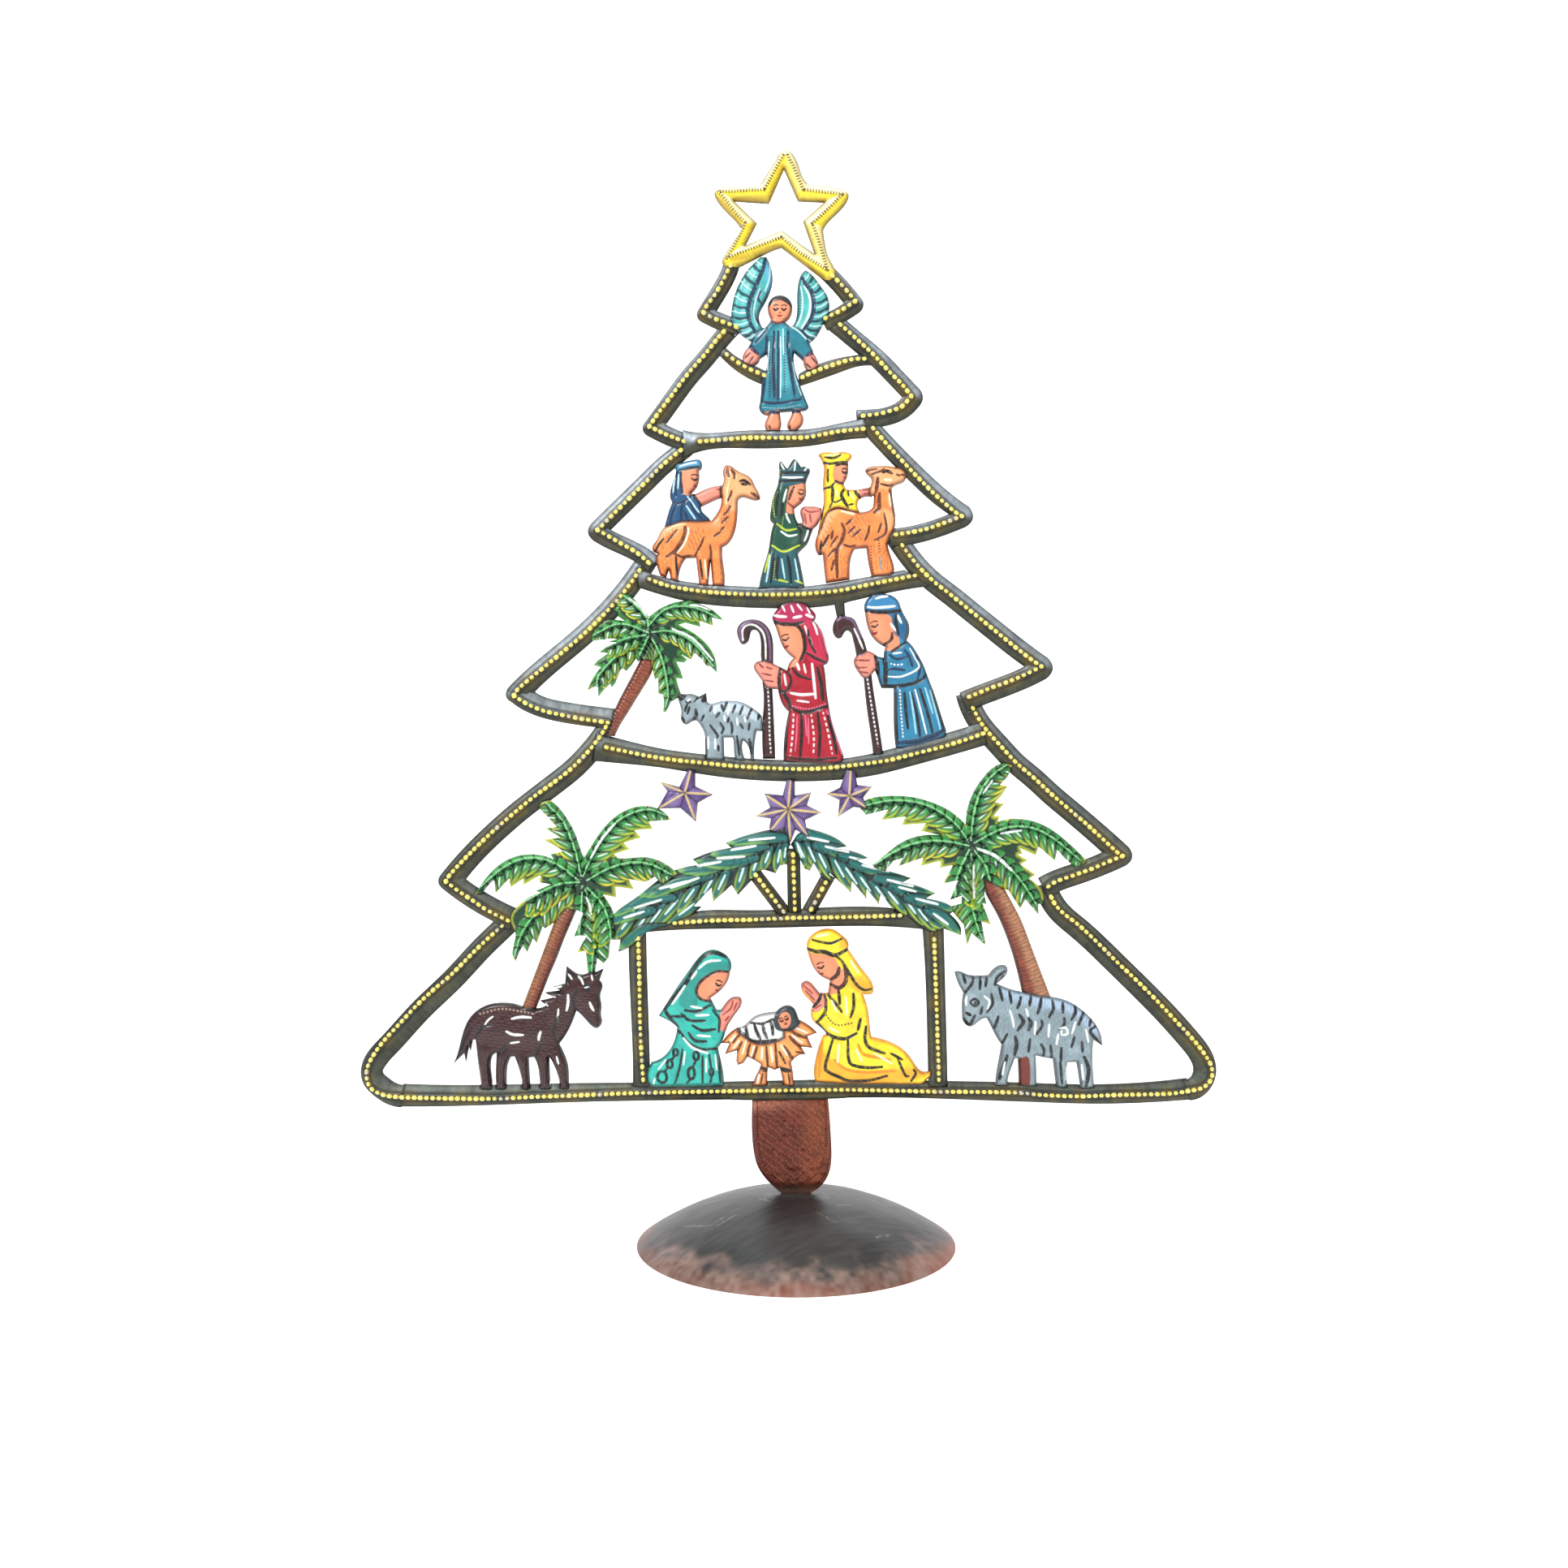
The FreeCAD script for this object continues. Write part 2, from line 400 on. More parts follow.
FIGURES["thatch_left"] = [[
    straight((72.2, 2.2)),
    smooth((64.0, 3.4), (57.0, 5.1), (48.0, 8.4)),
    straight((50.2, 10.3)),
    smooth((46.0, 11.0), (40.0, 12.7), (34.9, 14.9)),
    straight((37.4, 17.1)),
    smooth((31.0, 18.2), (25.0, 20.6), (20.0, 24.0), (15.0, 28.0), (11.0, 31.0), (6.0, 34.4), (3.0, 37.2),
           (0.8, 40.2)),
    straight((3.2, 46.8), (6.2, 46.9), (5.4, 51.6)),
    smooth((10.0, 49.5), (15.0, 45.2), (20.0, 42.2), (24.6, 41.0)),
    smooth((30.0, 38.6), (35.0, 36.4), (38.6, 33.6)),
    straight((35.4, 33.6), (42.4, 26.2), (43.0, 31.9), (50.4, 25.2), (52.9, 29.1), (59.0, 22.6), (60.2, 19.6),
             (63.4, 19.1), (67.9, 20.5), (69.6, 17.4), (72.4, 16.8), (72.6, 11.8), (73.8, 9.0), (72.2, 2.2)),
]]

FIGURES["thatch_right"] = [[
    straight((73.8, 9.0), (76.4, 5.0), (80.2, 2.4)),
    smooth((86.0, 4.0), (92.0, 6.5), (96.2, 9.8)),
    straight((91.4, 10.6)),
    smooth((95.0, 11.0), (100.0, 12.1), (104.6, 14.4)),
    straight((100.4, 15.4)),
    smooth((104.0, 17.0), (110.0, 18.8), (116.0, 20.4), (121.7, 22.4)),
    straight((118.2, 24.1)),
    smooth((122.4, 24.9), (127.0, 26.4), (131.4, 28.4)),
    straight((127.4, 30.4)),
    smooth((132.0, 31.2), (136.0, 32.5), (139.5, 34.9)),
    straight((137.2, 36.6)),
    smooth((139.6, 39.0), (141.4, 42.0), (141.3, 45.1)),
    straight((134.0, 42.2), (130.0, 43.8)),
    smooth((127.0, 42.4), (124.0, 40.0), (119.6, 37.2)),
    straight((115.5, 36.0), (109.6, 28.6), (108.8, 32.8), (104.0, 26.6), (103.9, 30.7), (98.2, 23.6),
             (97.8, 28.1), (89.2, 20.2), (90.0, 23.6), (86.2, 22.4), (83.0, 16.4), (81.5, 19.5), (79.4, 18.6),
             (76.6, 13.0), (73.8, 9.0)),
]]

FIGURES["donkey"] = [[
    straight((45.8, 2.4)),
    smooth((48.2, 4.2), (50.6, 5.5), (53.0, 5.5), (55.2, 4.7), (57.2, 4.8)),
    straight((60.6, 3.2)),
    smooth((59.6, 6.0), (58.9, 8.0)),
    smooth((60.1, 10.4), (59.2, 13.8), (59.7, 18.2), (59.5, 22.0), (59.9, 24.4), (58.2, 26.9), (54.0, 24.3),
           (51.6, 21.6), (49.8, 20.0)),
    smooth((48.8, 22.8), (47.0, 27.0), (44.8, 30.8), (42.9, 33.2)),
    smooth((44.6, 36.6), (46.2, 41.0), (46.7, 45.0), (46.7, 50.6)),
    straight((43.4, 50.6)),
    smooth((42.7, 47.0), (41.4, 43.0), (39.0, 38.2)),
    smooth((39.1, 43.0), (39.5, 50.6)),
    straight((35.6, 50.6)),
    smooth((35.0, 46.0), (34.3, 41.6), (32.9, 38.5)),
    straight((30.8, 38.7)),
    smooth((31.0, 43.0), (31.5, 50.8)),
    straight((28.3, 50.8)),
    smooth((27.9, 47.0), (26.4, 41.4), (25.2, 38.2)),
    straight((23.8, 38.4)),
    smooth((22.4, 41.6), (22.0, 46.0), (21.9, 50.6)),
    straight((18.0, 50.6)),
    smooth((17.7, 45.0), (17.8, 41.0), (18.0, 36.9)),
    smooth((16.6, 37.8), (15.8, 40.0), (15.8, 44.0), (16.2, 50.6)),
    straight((12.0, 50.6)),
    smooth((11.5, 46.0), (10.6, 40.0), (10.0, 34.0), (9.7, 31.4)),
    straight((8.6, 31.8), (7.7, 36.1), (7.1, 34.0), (5.9, 40.4), (5.2, 37.0), (0.9, 41.1)),
    smooth((3.0, 35.4), (4.3, 30.0), (5.9, 25.4), (8.2, 21.8), (12.0, 18.8), (16.0, 17.3), (21.0, 16.9),
           (25.0, 17.3), (28.6, 18.5), (33.0, 19.2), (37.8, 17.9)),
    straight((35.4, 16.0), (40.6, 14.8), (37.2, 12.8), (43.4, 12.0), (40.4, 10.5), (45.2, 9.2)),
    straight((45.8, 2.4)),
]]

FIGURES["mary"] = [[
    straight((6.4, 29.0)),
    smooth((10.0, 23.4), (14.0, 17.2), (18.4, 11.0), (22.0, 6.2), (25.0, 3.6), (28.2, 2.8), (31.6, 3.9),
           (34.5, 6.4), (35.4, 9.2), (34.7, 11.6)),
    smooth((34.4, 13.8), (33.2, 16.4), (31.2, 18.8), (28.9, 20.7), (27.0, 22.0)),
    straight((29.4, 26.7), (31.2, 26.6)),
    smooth((33.0, 24.0), (36.4, 21.5), (39.0, 22.0), (39.4, 24.2), (37.8, 27.2), (35.6, 30.2), (33.4, 34.4)),
    smooth((32.6, 36.6), (31.6, 39.4), (30.0, 41.6)),
    smooth((30.6, 44.6), (31.8, 50.0), (32.3, 56.2)),
    straight((20.0, 56.8), (4.6, 57.0)),
    smooth((2.4, 54.8), (2.2, 51.0), (3.6, 47.4)),
    smooth((6.6, 46.4), (10.0, 43.6), (12.4, 39.4), (13.8, 33.7)),
    smooth((11.0, 31.4), (8.6, 30.1), (6.4, 29.0)),
]]

FIGURES["baby"] = [[
    straight((22.0, 4.4)),
    smooth((24.0, 2.7), (26.6, 1.9), (29.0, 2.9), (30.4, 5.4), (31.5, 8.3)),
    smooth((30.0, 10.4), (28.2, 11.3), (25.2, 11.6)),
    straight((25.2, 14.4)),
    smooth((22.4, 15.9), (17.4, 17.0), (12.6, 16.2), (9.4, 14.0), (6.9, 12.0)),
    straight((6.8, 10.7)),
    smooth((9.4, 9.9), (11.2, 8.2), (13.6, 6.3), (17.0, 5.1), (22.0, 4.4)),
]]

FIGURES["manger"] = [[
    straight((7.4, 10.4)),
    smooth((4.0, 12.6), (0.4, 16.9)),
    straight((3.5, 17.0), (1.7, 21.3), (6.5, 19.8), (6.2, 24.0), (6.9, 25.6), (9.2, 24.8), (10.7, 22.4),
             (13.0, 23.4), (16.0, 25.3)),
    smooth((15.4, 27.2), (14.0, 30.0), (12.9, 33.4)),
    straight((18.6, 33.4), (18.7, 28.2), (19.0, 26.5), (21.5, 27.6), (23.5, 26.7), (25.0, 33.4), (29.1, 33.4)),
    smooth((28.8, 29.0), (28.0, 24.6)),
    straight((29.4, 22.9), (31.4, 21.5), (33.8, 21.3), (31.9, 18.3), (36.5, 18.8), (34.5, 14.2), (38.3, 12.8)),
    smooth((35.0, 9.8), (31.0, 7.6)),
    straight((24.0, 9.0), (12.0, 11.0), (7.4, 10.4)),
]]

FIGURES["joseph"] = [[
    straight((5.2, 9.2)),
    smooth((5.8, 5.8), (8.2, 3.2), (12.0, 1.6), (16.0, 1.9), (19.2, 4.0), (21.6, 6.6), (21.6, 9.4)),
    smooth((24.4, 13.4), (28.0, 18.4), (31.4, 23.4), (31.8, 26.2), (27.6, 27.4)),
    smooth((28.8, 30.6), (29.8, 35.0), (30.3, 40.0), (31.0, 44.4)),
    smooth((34.2, 45.1), (38.2, 46.4), (43.2, 49.2), (47.2, 53.6), (51.2, 58.2), (54.2, 57.8)),
    smooth((54.0, 60.0), (50.0, 62.8)),
    straight((20.0, 62.6), (8.4, 61.8)),
    smooth((8.0, 57.6), (8.8, 52.8), (10.2, 47.6), (11.6, 44.0)),
    straight((13.0, 43.2)),
    smooth((9.6, 39.8), (7.2, 37.2), (6.8, 34.4), (7.9, 31.6)),
    smooth((5.2, 28.8), (3.1, 25.6), (3.2, 23.2), (5.2, 22.2), (7.6, 23.6), (10.4, 27.0)),
    straight((13.6, 27.0), (14.4, 22.0)),
    smooth((11.4, 20.6), (8.6, 18.0), (6.8, 14.8), (5.8, 11.8), (5.2, 9.2)),
]]

FIGURES["sheep_large"] = [[
    straight((2.0, 5.6)),
    smooth((4.0, 5.4), (7.0, 6.6), (10.8, 7.1), (15.4, 6.9)),
    smooth((17.2, 4.7), (20.0, 3.0), (22.4, 3.3), (23.0, 5.4), (21.4, 8.0), (18.6, 10.2)),
    smooth((22.0, 11.7), (26.0, 13.0), (30.0, 13.8), (35.0, 14.9), (40.0, 15.5), (45.2, 16.6), (50.2, 19.0),
           (55.0, 22.9), (58.4, 27.0), (60.5, 34.9)),
    straight((57.2, 32.6)),
    smooth((56.7, 37.0), (56.8, 43.0), (57.3, 51.2)),
    straight((51.8, 51.4)),
    smooth((51.3, 47.0), (50.3, 41.4)),
    straight((46.6, 41.6), (46.6, 51.0), (42.3, 51.0)),
    smooth((41.6, 45.4), (41.0, 40.2)),
    smooth((37.6, 39.6), (34.2, 38.8)),
    straight((34.6, 50.6), (27.5, 50.6), (27.1, 40.0), (25.8, 40.0)),
    smooth((24.6, 43.4), (23.4, 47.0), (23.0, 50.4)),
    straight((18.1, 50.2)),
    smooth((18.7, 45.0), (19.6, 40.0), (20.6, 34.4)),
    smooth((18.3, 31.0), (16.3, 27.0), (14.7, 24.0)),
    smooth((11.6, 25.2), (8.0, 27.3), (5.6, 25.6), (4.9, 21.8), (4.9, 18.0), (5.4, 13.8)),
    smooth((3.4, 10.2), (2.0, 5.6)),
]]

FIGURES["star_topper"] = [
    [
        straight((26.3, 4.8)),
        smooth((27.8, 2.1), (30.2, 1.2), (32.2, 2.4), (34.6, 6.4), (38.8, 14.8)),
        smooth((44.0, 15.5), (52.6, 17.2), (54.9, 19.2), (54.2, 21.6), (49.8, 26.8), (44.8, 32.9)),
        smooth((45.4, 38.0), (47.2, 44.4), (49.4, 50.0), (48.4, 52.6), (44.6, 52.4)),
        straight((28.2, 39.9)),
        smooth((21.4, 42.6), (14.0, 46.4), (8.0, 48.1), (4.9, 46.6), (5.8, 42.4), (11.7, 31.7)),
        smooth((7.6, 27.0), (2.4, 20.8), (1.6, 18.2), (4.0, 16.6), (12.0, 15.9), (20.0, 14.7)),
        straight((26.3, 4.8)),
    ],
    [
        straight((29.2, 8.8), (34.7, 21.4), (45.4, 21.9), (36.8, 29.6), (41.4, 42.6), (28.3, 33.2),
                 (13.8, 39.3), (18.4, 30.3), (9.2, 21.4), (23.2, 22.4), (29.2, 8.8)),
    ],
]

# Frame members that aren't of one width are drawn in the tree's own X and Z.
MEMBERS = {
    "ledge_1": [
        straight((-42.0, 322.6)),
        smooth((-33.0, 321.4), (-20.0, 322.2), (-5.0, 322.6), (10.0, 323.2), (20.0, 325.2), (30.0, 327.2)),
        straight((31.0, 319.4)),
        smooth((20.0, 318.4), (10.0, 316.6), (0.0, 315.7), (-15.0, 315.4), (-28.0, 315.4), (-42.0, 311.4)),
        straight((-42.0, 322.6)),
    ],
    "ledge_2": [
        straight((-60.0, 267.2)),
        smooth((-47.0, 263.6), (-38.0, 262.0), (-20.0, 260.6), (0.0, 260.1), (15.0, 261.5), (30.0, 264.0),
               (46.0, 267.0)),
        straight((56.0, 260.6)),
        smooth((45.0, 259.0), (30.0, 255.8), (24.0, 254.4)),
        straight((22.2, 253.8), (22.6, 248.4), (19.2, 248.4), (18.2, 253.2)),
        smooth((8.0, 252.0), (-5.0, 251.8), (-25.0, 252.6), (-40.0, 254.5), (-50.0, 257.0), (-60.0, 260.2)),
        straight((-60.0, 267.2)),
    ],
    "ledge_3": [
        straight((-76.0, 202.4)),
        smooth((-60.0, 198.2), (-50.0, 196.0), (-35.0, 194.0), (-15.0, 192.1), (5.0, 191.5), (20.0, 192.0),
               (30.0, 193.5), (44.0, 196.9), (58.0, 200.9), (76.0, 206.2)),
        straight((79.0, 197.6)),
        smooth((65.0, 193.5), (50.0, 189.4), (35.0, 185.6), (20.0, 183.6), (0.0, 183.0), (-20.0, 184.0),
               (-38.0, 186.4), (-50.0, 188.4), (-65.0, 190.0), (-78.0, 191.2)),
        straight((-76.0, 202.4)),
    ],
    "arm_bar_left": [
        straight((-29.0, 358.8)),
        smooth((-25.0, 355.3), (-21.0, 352.0), (-16.0, 349.3), (-8.0, 345.4)),
        straight((-8.0, 340.0)),
        smooth((-16.0, 343.3), (-22.0, 347.2), (-26.0, 350.8), (-30.4, 355.6)),
        straight((-29.0, 358.8)),
    ],
    "arm_bar_right": [
        straight((4.0, 344.8)),
        smooth((10.0, 348.0), (17.0, 350.5), (24.0, 351.9), (34.0, 353.4)),
        straight((36.0, 347.8)),
        smooth((26.0, 347.6), (20.0, 345.5), (13.0, 343.0), (4.0, 340.0)),
        straight((4.0, 344.8)),
    ],
    "stable_post_left": [
        straight((-63.6, 121.0)),
        smooth((-63.4, 110.0), (-63.0, 100.0), (-61.8, 62.0)),
        straight((-55.0, 62.0)),
        smooth((-56.0, 100.0), (-56.3, 110.0), (-56.6, 127.0)),
        straight((-63.6, 121.0)),
    ],
    "stable_post_right": [
        straight((53.0, 127.0)),
        smooth((54.2, 110.0), (54.8, 95.0), (55.6, 62.0)),
        straight((63.2, 62.0)),
        smooth((62.4, 95.0), (62.0, 110.0), (61.6, 127.0)),
        straight((53.0, 127.0)),
    ],
    "stable_beam": [
        straight((-58.0, 123.0)),
        smooth((-45.0, 124.0), (-20.0, 124.6), (10.0, 125.3), (30.0, 125.6), (56.0, 124.0)),
        straight((58.0, 128.4)),
        smooth((42.0, 132.6), (30.0, 133.3), (15.0, 133.0), (0.0, 132.2), (-20.0, 131.9), (-36.0, 131.5),
               (-46.0, 129.4), (-58.0, 127.6)),
        straight((-58.0, 123.0)),
    ],
    "floor_bar": [
        straight((-153.0, 62.8)),
        smooth((-120.0, 62.4), (-90.0, 63.0), (-60.0, 63.3), (-30.0, 63.6), (0.0, 64.2), (30.0, 64.6),
               (60.0, 64.0), (90.0, 63.4), (120.0, 62.6), (140.0, 63.3), (158.0, 65.1)),
        straight((159.9, 56.7)),
        smooth((140.0, 55.4), (120.0, 55.0), (100.0, 55.6), (80.0, 56.3), (40.0, 57.5), (0.0, 57.0),
               (-40.0, 56.5), (-90.0, 55.5), (-120.0, 54.4), (-154.9, 53.9)),
        straight((-153.0, 62.8)),
    ],
}

# Bands of one width. Each run follows the raised bead line: out to the tier's tip, then the shorter
# stretch back inwards. The line isn't always in the middle of its band, so each run also says what
# share of the width is on the band's outer side, evenly spaced from the run's start to its end.
BANDS = {
    "left_rail_1": ("band_1", [
        ([(-22.5, 390.0), (-24.0, 385.0), (-26.5, 380.0), (-29.5, 375.0), (-33.5, 368.5)], (0.46, 0.46)),
        ([(-33.5, 368.5), (-28.6, 366.0), (-20.0, 362.8)], (0.46, 0.46)),
    ]),
    "right_rail_1": ("band_1", [
        ([(14.5, 386.0), (20.0, 380.5), (26.3, 373.0)], (0.49, 0.49)),
        ([(26.3, 373.0), (21.0, 369.5), (13.5, 365.8)], (0.62, 0.62)),
    ]),
    "left_rail_2": ("band_2", [
        ([(-20.0, 366.6), (-27.0, 359.5), (-33.0, 352.0), (-40.0, 344.0), (-46.0, 336.0),
          (-55.0, 323.5)], (0.40, 0.40)),
        ([(-55.0, 323.5), (-47.6, 319.8), (-37.0, 316.0)], (0.45, 0.45)),
    ]),
    "right_rail_2": ("band_2", [
        ([(14.0, 369.0), (22.0, 362.5), (28.0, 357.0), (34.0, 351.5), (40.0, 345.0),
          (48.5, 335.5)], (0.42, 0.68)),
        ([(48.5, 335.5), (42.0, 330.2), (35.0, 328.3), (27.0, 327.6)], (0.68, 0.60)),
    ]),
    "left_rail_3": ("band_3", [
        ([(-37.0, 318.6), (-44.0, 313.0), (-50.0, 308.0), (-57.0, 301.0), (-64.0, 294.0),
          (-75.5, 282.5)], (0.48, 0.57)),
        ([(-75.5, 282.5), (-66.0, 277.0), (-60.0, 273.5), (-54.0, 268.6)], (0.60, 0.38)),
    ]),
    "right_rail_3": ("band_3", [
        ([(27.6, 329.6), (35.0, 321.0), (42.0, 313.0), (50.0, 304.5), (58.0, 296.5),
          (68.5, 288.0)], (0.45, 0.72)),
        ([(68.5, 288.0), (61.0, 285.0), (54.0, 282.7), (40.0, 280.4)], (0.60, 0.58)),
    ]),
    "left_rail_4": ("band_4", [
        ([(-54.6, 273.0), (-62.0, 262.0), (-68.0, 254.5), (-75.0, 247.0), (-83.0, 239.5), (-92.0, 232.0),
          (-108.5, 217.0)], (0.52, 0.52)),
        ([(-108.5, 217.0), (-100.0, 212.0), (-90.0, 209.2), (-80.0, 207.5), (-69.0, 206.0)], (0.36, 0.29)),
    ]),
    "right_rail_4": ("band_4", [
        ([(41.0, 282.6), (46.0, 275.0), (51.0, 268.5), (57.0, 262.5), (64.0, 257.0), (72.0, 250.5),
          (80.0, 244.0), (88.0, 237.5), (100.0, 228.5)], (0.50, 0.56)),
        ([(100.0, 228.5), (92.0, 224.6), (84.0, 221.4), (77.0, 218.8), (69.0, 215.6)], (0.64, 0.64)),
    ]),
    "left_rail_5": ("band_5", [
        ([(-69.6, 208.6), (-75.0, 200.0), (-80.0, 194.0), (-86.0, 188.0), (-93.0, 182.5), (-100.0, 177.2),
          (-108.0, 171.0), (-115.0, 165.0), (-122.0, 158.5), (-135.5, 143.5)], (0.48, 0.42)),
        ([(-135.5, 143.5), (-127.6, 137.4), (-119.0, 132.0), (-109.0, 127.0)], (0.42, 0.36)),
    ]),
    "right_rail_5": ("band_5", [
        ([(71.0, 218.4), (73.0, 212.0), (76.0, 206.5), (79.5, 202.0), (84.0, 197.0), (90.0, 190.5),
          (97.0, 184.5), (104.0, 178.0), (111.0, 172.0), (118.0, 166.0), (132.0, 153.5)], (0.46, 0.54)),
        ([(132.0, 153.5), (123.6, 149.8), (115.0, 146.6), (108.0, 144.2), (101.0, 140.8)], (0.51, 0.51)),
    ]),
    "left_rail_6": ("band_6", [
        ([(-109.0, 130.0), (-116.0, 123.5), (-122.0, 118.0), (-128.0, 112.0), (-134.0, 106.0),
          (-140.0, 100.6), (-147.0, 94.2), (-154.0, 87.0), (-160.0, 80.2), (-164.9, 74.6), (-166.7, 70.0),
          (-166.1, 65.4), (-162.2, 61.4), (-158.0, 59.0), (-153.0, 58.1)],
         (0.44, 0.38, 0.30, 0.24, 0.27, 0.44, 0.52)),
    ]),
    "right_rail_6": ("band_6", [
        ([(102.4, 142.6), (104.5, 136.4), (108.6, 131.0), (115.0, 125.6), (122.0, 119.4), (130.0, 111.6),
          (138.0, 103.8), (146.0, 95.8), (153.0, 88.4), (159.6, 80.8), (164.2, 74.4), (165.7, 69.6),
          (165.1, 65.4), (162.8, 62.2), (158.0, 60.6)], (0.48, 0.43, 0.43, 0.43, 0.46, 0.50)),
    ]),
    "rafter_left": ("rafter_band", [([(-15.4, 149.0), (-1.4, 130.6)], (0.5, 0.5))]),
    "king_post": ("rafter_band", [([(1.9, 156.4), (2.4, 131.0)], (0.5, 0.5))]),
    "rafter_right": ("rafter_band", [([(16.2, 146.0), (8.0, 131.4)], (0.5, 0.5))]),
}

# Where two pieces would share metal, the one that is earlier here keeps it.
ORDER = [
    "angel", "angel_wing_left", "angel_wing_right", "camel_1", "rider_1", "king", "camel_2", "rider_2",
    "sheep_small", "shepherd_red", "crook_red", "shepherd_blue", "crook_blue",
    "purple_star_left", "purple_star_centre", "purple_star_right", "palm_small_fronds", "palm_small_trunk",
    "donkey", "mary", "baby", "manger", "joseph", "sheep_large",
    "palm_left_fronds", "palm_left_trunk", "palm_right_fronds", "palm_right_trunk",
    "thatch_left", "thatch_right", "star_topper",
    "ledge_1", "ledge_2", "ledge_3", "king_post", "rafter_left", "rafter_right", "stable_beam",
    "stable_post_left", "stable_post_right",
    "left_rail_1", "right_rail_1", "left_rail_2", "right_rail_2", "arm_bar_left", "arm_bar_right",
    "left_rail_3", "right_rail_3", "left_rail_4", "right_rail_4", "left_rail_5", "right_rail_5",
    "left_rail_6", "right_rail_6", "floor_bar", "trunk",
]


def unit(dx, dz):
    length = math.hypot(dx, dz)
    return dx / length, dz / length


def share_at(shares, part):
    """The share between two of its evenly spaced values, part of the way along."""
    place = part * (len(shares) - 1)
    low = min(int(place), len(shares) - 2)
    return shares[low] + (shares[low + 1] - shares[low]) * (place - low)


def edge_of(points, widths):
    """Points set off to the left of a centreline, square to its direction at each point."""
    moved = []
    for i, (x, z) in enumerate(points):
        before = points[max(i - 1, 0)]
        after = points[min(i + 1, len(points) - 1)]
        dx, dz = unit(after[0] - before[0], after[1] - before[1])
        moved.append((x - dz * widths[i], z + dx * widths[i]))
    return moved


def crossing(a, a_way, b, b_way):
    """Where two lines, each a point and a direction, cross."""
    turn = a_way[0] * b_way[1] - a_way[1] * b_way[0]
    along = ((b[0] - a[0]) * b_way[1] - (b[1] - a[1]) * b_way[0]) / turn
    return (a[0] + a_way[0] * along, a[1] + a_way[1] * along)


def band(runs, width):
    """The outline of a band: one run, or an outward run and a run back from its tip."""
    first = runs[0][0]
    outside = -1 if first[-1][0] < first[0][0] else 1
    edges = []
    for points, shares in runs:
        parts = [i / (len(points) - 1) for i in range(len(points))]
        outer = [outside * width * share_at(shares, part) for part in parts]
        inner = [-outside * width * (1 - share_at(shares, part)) for part in parts]
        edges.append((edge_of(points, outer), edge_of(points, inner)))

    if len(runs) == 1:
        near, far = edges[0]
        far = far[::-1]
        if len(near) == 2:
            return [straight(*near, *far, near[0])]
        return [straight(near[0]), smooth(*near[1:]), straight(far[0]), smooth(*far[1:]), straight(near[0])]

    (outer_out, inner_out), (outer_back, inner_back) = edges
    out, back = runs[0][0], runs[1][0]
    tip = out[-1]
    into = unit(tip[0] - out[-2][0], tip[1] - out[-2][1])
    away = unit(back[1][0] - tip[0], back[1][1] - tip[1])
    crotch = crossing(inner_out[-1], into, inner_back[0], away)
    reach = math.dist(crotch, tip) + 1.0
    inner_out = [e for e, p in zip(inner_out, out) if math.dist(p, tip) > reach]
    inner_back = [e for e, p in zip(inner_back, back) if math.dist(p, tip) > reach]
    point_x, point_z = unit(into[0] - away[0], into[1] - away[1])
    bulge = (math.dist(outer_out[-1], tip) + math.dist(outer_back[0], tip)) / 2
    nose = (tip[0] + point_x * bulge, tip[1] + point_z * bulge)
    return [
        straight(outer_out[0]),
        smooth(*outer_out[1:]),
        smooth(nose, outer_back[0]),
        smooth(*outer_back[1:]),
        straight(inner_back[-1]),
        smooth(*inner_back[:-1][::-1], crotch),
        smooth(*inner_out[::-1]),
        straight(outer_out[0]),
    ]


def draw(sketch, outline, flip):
    """Adds one closed outline to a sketch. flip turns a distance down into a height."""
    def vector(point):
        return FreeCAD.Vector(point[0], -point[1] if flip else point[1], 0)

    pen = None
    for kind, points in outline:
        if pen is None:
            pen = points[0]
            points = points[1:]
        if kind == "smooth" and len(points) > 1:
            curve = Part.BSplineCurve()
            curve.interpolate([vector(p) for p in [pen] + points])
            sketch.addGeometry(curve, False)
        else:
            for a, b in zip([pen] + points[:-1], points):
                if a != b:
                    sketch.addGeometry(Part.LineSegment(vector(a), vector(b)), False)
        if points:
            pen = points[-1]


def origin_plane(body, role):
    return next(f for f in body.Origin.OriginFeatures if f.Role == role)


def sheet_piece(name, outlines, flip):
    """A flat piece of the sheet: a body with one sketch, padded evenly about the tree's plane."""
    body = doc.addObject("PartDesign::Body", f"{name}_blank")
    sketch = body.newObject("Sketcher::SketchObject", f"{name}_outline")
    sketch.AttachmentSupport = (origin_plane(body, "XZ_Plane"), [""])
    sketch.MapMode = "FlatFace"
    for outline in outlines:
        draw(sketch, outline, flip)
    pad = body.newObject("PartDesign::Pad", f"{name}_pad")
    pad.Profile = sketch
    pad.SideType = "Symmetric"
    pad.setExpression("Length", "sizes.gauge")
    if name in ANCHORS:
        body.setExpression("Placement.Base.x", f"sizes.{name}_left")
        body.setExpression("Placement.Base.z", f"sizes.{name}_top")
    return body


